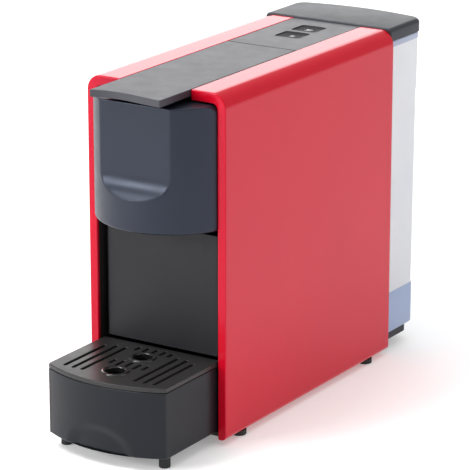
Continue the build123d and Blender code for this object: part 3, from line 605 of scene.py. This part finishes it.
def button_panel(button_ys):
    """Panel with two openings and a front edge that clears the turning lever."""
    half = panel_hi.x
    top = panel_hi.z
    thickness = 3.0 * MM
    seam = HINGE.y + sqrt((LEVER_SWEEP + SEAM) ** 2 - (top - HINGE.z) ** 2)
    lower = HINGE.y + sqrt((LEVER_SWEEP + SEAM) ** 2 - (top - thickness - HINGE.z) ** 2)
    outline = [(-half, seam), (half, seam), (half, panel_hi.y), (-half, panel_hi.y)]
    holes = [button_outline(y, 0.25 * MM) for y in button_ys]
    panel = slab("button_panel_top", outline, top - thickness, top, holes=holes)
    for vert in panel.data.vertices:
        if vert.co.y < seam + 0.4 * MM and vert.co.z < top - thickness / 2:
            vert.co.y += lower - seam
    soften(panel, 0.25 * MM, 2, 50)
    return place(panel, "housing", materials["panel_grey"], "lid_grey", "button_panel")


def button(name, y, icon):
    """Push button with a dished face and a small cup sign."""
    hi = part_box(name)[1]
    base = hi.z - BUTTON_HEIGHT
    top = hi.z
    outline = button_outline(y)
    centre = (0.0, y)
    loops = [at_height(outline, base), at_height(outline, top - 0.5 * MM)]
    for share, drop in BUTTON_DISH:
        ring = [(px * share, y + (py - y) * share) for px, py in outline]
        loops.append(at_height(ring, top - drop * MM))
    cap = loops_piece(f"{name}_cap", loops)
    cap.data.set_sharp_from_angle(angle=radians(50))
    place(cap, name, materials["button_dark"], "button_dark", name)
    sign = cup_sign(f"{name}_sign", centre, icon, top - 0.42 * MM)
    place(sign, name, materials["icon_grey"], "button_dark")


def cup_sign(name, centre, size, z):
    """Flat cup with a handle and a saucer, printed on a button."""
    cx, cy = centre
    width = size * 2.6 * MM
    height = size * 2.6 * MM
    foot = width * 0.62
    brim = width * 0.8
    low = cy - height / 2
    high = cy + height / 2
    cup = rounded([(cx - foot, low, 0.5 * MM), (cx + foot, low, 0.5 * MM),
                   (cx + brim, high, 0.1 * MM), (cx - brim, high, 0.1 * MM)], 4)
    saucer = box_outline(cx - width, cx + width, low - 0.9 * MM, low - 0.45 * MM, 0.2 * MM, 3)
    bm = bmesh.new()
    thick = 0.12 * MM
    for outline in (cup, saucer):
        add_loops(bm, [at_height(outline, z), at_height(outline, z + thick)])
    handle_x = cx + width * 0.78
    ring_out = arc(handle_x, cy + 0.1 * MM, size * 0.85 * MM, 75, -75, 8)
    ring_in = arc(handle_x, cy + 0.1 * MM, size * 0.5 * MM, -75, 75, 8)
    add_loops(bm, [at_height(ring_out + ring_in, z), at_height(ring_out + ring_in, z + thick)])
    return finish_mesh(name, bm)


# ---- drip tray --------------------------------------------------------------------------
TRAY_CORNER_Y = tray_lo.y + 12.5 * MM
TRAY_WALL = 2.2 * MM
LONG_SLOTS = ((21.5, -164.0, -110.0), (29.0, -164.0, -110.0), (36.5, -163.0, -114.0))  # x, y0, y1 in mm
SIDE_SLOT_ROWS = ((-143.0, -134.0), (-112.0, -104.0))  # y0, y1 in mm
MIDDLE_SLOT_ROWS = ((-145.0, -133.0), (-112.0, -103.0))
SIDE_SLOT_X = 13.5 * MM
SLOT_PITCH = 7.0 * MM
LONG_SLOT_WIDTH = 2.6 * MM
SHORT_SLOT_WIDTH = 2.4 * MM


def tray_outline(inset, rear, corner=1.6 * MM, steps=40):
    """Tray plan with a bowed front edge, anticlockwise from the rear right."""
    half = tray_hi.x - inset
    corner_y = TRAY_CORNER_Y + inset
    front = tray_lo.y + inset
    rise = corner_y - front
    radius = (half * half + rise * rise) / (2 * rise)
    centre_y = front + radius
    reach = degrees(asin(half / radius))
    bow = arc(0, centre_y, radius, -90 - reach, -90 + reach, steps)
    bow[0] = (bow[0][0], bow[0][1] + corner * 0.8)
    bow[-1] = (bow[-1][0], bow[-1][1] + corner * 0.8)
    step = (2 * half) / steps
    bow[1] = (bow[1][0] - step * 0.55, bow[1][1] + step * 0.10)
    bow[-2] = (bow[-2][0] + step * 0.55, bow[-2][1] + step * 0.10)
    return [(half, rear), (-half, rear)] + bow


def finger_depth(x, z):
    """Depth of the soft arched hollow low on the tray's front."""
    half = 29.0 * MM
    height = 21.0 * MM
    rise = max(z - tray_lo.z, 0) / height
    inside = 1 - hypot(abs(x) / half, rise)
    if inside <= 0:
        return 0.0
    edge = min(inside / 0.42, 1)
    return 2.6 * MM * edge * edge * (3 - 2 * edge)


def tray():
    """Deep tray with a lip for the grille and a soft finger hollow."""
    rear = tray_hi.y
    rim = tray_hi.z
    steps = 90
    outer = tray_outline(0, rear, steps=steps)
    loops = [at_height(tray_outline(1.2 * MM, rear - 1 * MM, steps=steps), tray_lo.z)]
    heights = [tray_lo.z + 0.25 * MM, tray_lo.z + 0.9 * MM]
    heights += [tray_lo.z + 0.9 * MM + (rim - tray_lo.z - 1.3 * MM) * k / 44 for k in range(1, 45)]
    for z in heights:
        bottom_round = 0.5 * MM if z < tray_lo.z + 0.5 * MM else 0.0
        ring = []
        for x, y in outer:
            shift = finger_depth(x, z) if y < TRAY_CORNER_Y - 0.5 * MM else 0.0
            ring.append((x * (1 - bottom_round / tray_hi.x), y + shift + (bottom_round if y < 0 else 0), z))
        loops.append(ring)
    loops.append(at_height(tray_outline(0.35 * MM, rear, steps=steps), rim))
    inner = tray_outline(TRAY_WALL, rear - TRAY_WALL, steps=steps)
    lip = tray_outline(TRAY_WALL - 0.35 * MM, rear - TRAY_WALL + 0.3 * MM, steps=steps)
    loops.append(at_height(lip, rim))
    loops.append(at_height(inner, rim - 0.4 * MM))
    ledge = tray_outline(TRAY_WALL + 1.6 * MM, rear - TRAY_WALL - 1.6 * MM, steps=steps)
    deep = tray_outline(TRAY_WALL + 3.4 * MM, rear - TRAY_WALL - 3.4 * MM, steps=steps)
    loops.append(at_height(inner, rim - 4.0 * MM))
    loops.append(at_height(ledge, rim - 5.0 * MM))
    loops.append(at_height(ledge, tray_lo.z + 6.5 * MM))
    loops.append(at_height(deep, tray_lo.z + 5.6 * MM))
    piece = loops_piece("drip_tray_shell", loops)
    piece.data.set_sharp_from_angle(angle=radians(38))
    return place(piece, "tray", materials["tray_satin"], "charcoal_satin", "drip_tray")


def slot_outline(x, y0, y1, width):
    """Round-ended slot along Y."""
    radius = width / 2
    return arc(x, y1 - radius, radius, 0, 180, 8) + arc(x, y0 + radius, radius, 180, 360, 8)


def grille(ring_ys):
    """Slotted tray cover with soft edges and a skirt that drops into the tray."""
    rear = grille_hi.y
    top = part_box("cup_ring_front")[1].z - 0.9 * MM
    under = top - 3.2 * MM
    outer = tray_outline(0, rear)
    slots = []
    for side in (-1, 1):
        for x, y0, y1 in LONG_SLOTS:
            slots.append(slot_outline(side * x * MM, y0 * MM, y1 * MM, LONG_SLOT_WIDTH))
        for y0, y1 in SIDE_SLOT_ROWS:
            slots.append(slot_outline(side * SIDE_SLOT_X, y0 * MM, y1 * MM, SHORT_SLOT_WIDTH))
    for x in (-SLOT_PITCH, 0.0, SLOT_PITCH):
        for y0, y1 in MIDDLE_SLOT_ROWS:
            slots.append(slot_outline(x, y0 * MM, y1 * MM, SHORT_SLOT_WIDTH))
    drains = [arc(0, y, 8.5 * MM, 0, 360 - 7.5, 47) for y in ring_ys]
    plate = slab("drip_grille_plate", outer, under, top, holes=slots + drains)
    soften(plate, 0.5 * MM, 3, 50)
    place(plate, "grille", materials["grille_satin"], "dark_satin", "drip_grille")
    skirt_out = tray_outline(2.6 * MM, rear - 3.0 * MM)
    skirt_in = tray_outline(4.2 * MM, rear - 4.6 * MM)
    loops = [at_height(skirt_out, under + 0.2 * MM), at_height(skirt_out, under - 3.6 * MM),
             at_height(skirt_in, under - 3.6 * MM), at_height(skirt_in, under + 0.2 * MM)]
    bm = bmesh.new()
    rings = add_loops(bm, loops, False, False)
    join_rings(bm, rings[-1], rings[0])
    skirt = finish_mesh("drip_grille_skirt", bm)
    skirt.data.set_sharp_from_angle(angle=radians(40))
    place(skirt, "grille", materials["grille_satin"], "dark_satin")


def cup_ring(node, y):
    """Glossy raised ring round a drain hole."""
    lo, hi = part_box(node)
    outer = (hi.x - lo.x) / 2
    bore = 6.7 * MM
    seat = hi.z - 0.9 * MM
    body = 8.45 * MM
    profile = [(bore, lo.z), (body, lo.z), (body, seat), (outer, seat)]
    for k in range(9):
        turn = pi * k / 8
        centre = (outer + bore) / 2
        profile.append((centre + (outer - centre) * cos(turn), seat + 0.9 * MM * sin(turn) ** 0.7))
    piece = lathe(f"{node}_trim", profile, 0, y, 64)
    piece.data.set_sharp_from_angle(angle=radians(45))
    place(piece, "grille", materials["gloss_black"], "gloss_black", node)


def capsule_bin():
    """Open bin whose front wall is the dark column under the head."""
    wall = 2.0 * MM
    outer = box_outline(bin_lo.x, bin_hi.x, bin_lo.y, bin_hi.y, 2.5 * MM)
    inner = box_outline(bin_lo.x + wall, bin_hi.x - wall, bin_lo.y + wall, bin_hi.y - wall, 1.2 * MM)
    bm = bmesh.new()
    add_loops(bm, [at_height(outer, bin_lo.z), at_height(outer, bin_hi.z), at_height(inner, bin_hi.z),
                   at_height(inner, bin_lo.z + wall)])
    piece = finish_mesh("capsule_bin_shell", bm)
    soften(piece, 0.5 * MM, 3, 50)
    place(piece, "bin", materials["column_satin"], "dark_satin", "capsule_bin")


# ---- water tank -------------------------------------------------------------------------
TANK_TAPER = 3.0 * MM
TANK_BULGE = 7.0 * MM
TANK_CORNER = 10.0 * MM


def tank_section(z, inset):
    """Plan of the tapering tank at a height."""
    share = (z - tank_lo.z) / (tank_hi.z - tank_lo.z)
    rear = tank_hi.y - TANK_TAPER * (1 - share) - inset
    front = tank_lo.y + inset
    half = tank_hi.x - inset
    return at_height(bowed(half, front, rear - TANK_BULGE, rear, TANK_CORNER - inset, 2.0 * MM), z)


def water_tank():
    """Translucent open tank with a rim band, a step and a thick tinted foot."""
    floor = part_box("tank_valve")[0].z + 0.8 * MM
    rim = tank_hi.z
    band = 4.5 * MM
    step_z = 196.0 * MM
    wall = 2.2 * MM
    stations = [(floor, 0.9), (floor + 0.8 * MM, 0.25), (floor + 30 * MM, 0.25), (floor + 31.5 * MM, 0.7),
                (step_z, 0.7), (step_z + 1.2 * MM, 0.25), (rim - band, 0.25), (rim - band + 0.4 * MM, 0.0),
                (rim - 0.4 * MM, 0.0), (rim, 0.35), (rim, wall / MM - 0.3), (rim - 0.5 * MM, wall / MM),
                (floor + 3.2 * MM, wall / MM), (floor + 2.4 * MM, wall / MM + 0.8)]
    loops = [tank_section(z, inset * MM) for z, inset in stations]
    piece = loops_piece("water_tank_shell", loops)
    piece.data.set_sharp_from_angle(angle=radians(40))
    place(piece, "tank", materials["tank_clear"], "tank_clear", "water_tank")
    piece.data.materials.append(materials["tank_base_blue"])
    piece.data.materials.append(materials["tank_rim_blue"])
    for face in piece.data.polygons:
        if face.center.z < floor + 31 * MM and max(abs(face.normal.x), abs(face.normal.y)) > 0.5:
            face.material_index = 1
        elif face.center.z > rim - band - 0.1 * MM:
            face.material_index = 2
    foot = [tank_section(z, inset * MM) for z, inset in
            ((floor + 2.6 * MM, 2.6), (floor + 29.0 * MM, 2.6), (floor + 30.5 * MM, 4.0))]
    block = loops_piece("tank_foot_block", foot)
    block.data.set_sharp_from_angle(angle=radians(40))
    place(block, "tank", materials["tank_base_blue"], "tank_clear")


def lid_ring(inset, front_inset):
    """Lid outline smaller by an inset, with its front edge set back on its own."""
    rear = lid_hi.y - inset
    return bowed(lid_hi.x - inset, lid_lo.y + front_inset, rear - 7.0 * MM, rear, 10.0 * MM - inset, 0.8 * MM)


def tank_lid():
    """Lid with a well-rounded edge, a hollow underside and a collar that fits in the tank."""
    outer = lid_ring(0, 0)
    edge = 3.5 * MM
    low = lid_lo.z + 5.4 * MM
    top = lid_hi.z
    loops = [at_height(outer, low)]
    for k in range(0, 9):
        turn = pi / 2 * k / 8
        drop = edge * (1 - sin(turn))
        front = max(0.5 * MM - drop, 0) * 0.8
        loops.append(at_height(lid_ring(edge * (1 - cos(turn)), front), top - drop))
    bm = bmesh.new()
    add_loops(bm, loops, False, True)
    wall = 2.4 * MM
    inner = lid_ring(wall, tank_lo.y + 0.2 * MM - lid_lo.y)
    ceiling = top - wall
    fill_between(bm, [outer, inner], low)
    add_loops(bm, [at_height(inner, low), at_height(inner, ceiling)], False, False)
    collars = []
    for fit in (2.8 * MM, 4.6 * MM):
        rear = tank_hi.y - fit
        side_end = rear - TANK_BULGE
        corner = TANK_CORNER - fit
        collars.append(bowed(tank_hi.x - fit, tank_lo.y + fit, side_end, rear, corner, 1.0 * MM))
    collar, core = collars
    fill_between(bm, [inner, collar], ceiling)
    add_loops(bm, [at_height(collar, ceiling), at_height(collar, lid_lo.z), at_height(core, lid_lo.z),
                   at_height(core, ceiling)], False, True)
    piece = finish_mesh("tank_lid_shell", bm)
    piece.data.set_sharp_from_angle(angle=radians(45))
    place(piece, "lid", materials["lid_grey"], "lid_grey", "tank_lid")


# ---- carried-over frame pieces ----------------------------------------------------------
def dress_frame_nodes():
    """Give every CAD node that stays visible its procedural material."""
    slots = {row["node"]: row["material_slot"] for row in frame["record"]["subparts"]}
    for name, node in frame["nodes"].items():
        material = materials["seat_grey" if name == "tank_seat" else slots[name]]
        for slot in node.material_slots:
            slot.material = material
        if not node.material_slots:
            node.data.materials.append(material)


# ---- studio -----------------------------------------------------------------------------
VIEW_AZIMUTH = 32.486
VIEW_ELEVATION = 16.968
VIEW_EYE = Vector((1.0125, -1.5945, 0.6927))
VIEW_LENS = 211.75


def camera():
    """Camera at the viewing angle of the reference."""
    turn = radians(VIEW_AZIMUTH)
    rise = radians(VIEW_ELEVATION)
    away = Vector((sin(turn) * cos(rise), -cos(turn) * cos(rise), sin(rise)))
    data = bpy.data.cameras.new("camera")
    data.lens = VIEW_LENS
    data.sensor_width = 36
    data.clip_end = 50
    eye = bpy.data.objects.new("camera", data)
    bpy.context.scene.collection.objects.link(eye)
    eye.location = VIEW_EYE
    eye.rotation_euler = (-away).to_track_quat("-Z", "Y").to_euler()
    bpy.context.scene.camera = eye


def area_light(name, place_at, aim, size, power, color=(1, 1, 1)):
    """Soft rectangular light aimed at a point."""
    data = bpy.data.lights.new(name, "AREA")
    data.shape = "RECTANGLE"
    data.size, data.size_y = size
    data.energy = power
    data.color = color
    lamp = bpy.data.objects.new(name, data)
    bpy.context.scene.collection.objects.link(lamp)
    lamp.location = place_at
    lamp.rotation_euler = (Vector(aim) - Vector(place_at)).to_track_quat("-Z", "Y").to_euler()


def studio():
    """Pale floor, white surroundings and soft lights."""
    world = bpy.data.worlds.new("studio")
    world.use_nodes = True
    bpy.context.scene.world = world
    background = world.node_tree.nodes["Background"]
    background.inputs["Color"].default_value = (1, 1, 1, 1)
    background.inputs["Strength"].default_value = 0.5
    bm = bmesh.new()
    bmesh.ops.create_circle(bm, cap_ends=True, segments=96, radius=6.0)
    floor = finish_mesh("studio_floor", bm)
    paper = plastic("floor_paper", (0.93, 0.93, 0.93), 0.9, 0.03, 0.02, 300, 0.01, 0.1)
    paper_shader = paper.node_tree.nodes["Principled BSDF"]
    paper_shader.inputs["Emission Color"].default_value = (1, 1, 1, 1)
    paper_shader.inputs["Emission Strength"].default_value = 0.25
    floor.data.materials.append(paper)
    aim = (0, 0, 0.12)
    area_light("key_top", (-0.55, -0.65, 1.55), aim, (0.8, 0.8), 14)
    area_light("fill_right", (1.9, 0.2, 0.8), aim, (1.4, 1.6), 6)
    area_light("fill_left", (-1.1, -1.75, 0.85), (0, -0.1, 0.18), (0.9, 0.45), 21)
    area_light("rear_glow", (-1.3, 2.1, 0.85), aim, (2.4, 1.2), 17)
    area_light("floor_wash", (0, 0, 2.6), (0, 0, 0), (3.0, 3.0), 24)
    bpy.context.scene.view_settings.view_transform = "Standard"


# ---- assembly ---------------------------------------------------------------------------
def middle_y(node):
    """Y of the middle of a node's box."""
    lo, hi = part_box(node)
    return (lo.y + hi.y) / 2


button_rows = {name: middle_y(name) for name in ("short_coffee_button", "long_coffee_button")}
ring_rows = {name: middle_y(name) for name in ("cup_ring_front", "cup_ring_rear")}

dress_frame_nodes()
side_cover(1, "right_side_cover").name = "right_cover_shell"
side_cover(-1, "left_side_cover").name = "left_cover_shell"
head_cover()
nozzle()
lever_plate()
button_panel(button_rows.values())
button("short_coffee_button", button_rows["short_coffee_button"], 0.8)
button("long_coffee_button", button_rows["long_coffee_button"], 1.1)
tray()
grille(ring_rows.values())
for ring_name, ring_y in ring_rows.items():
    cup_ring(ring_name, ring_y)
capsule_bin()
water_tank()
tank_lid()
camera()
studio()
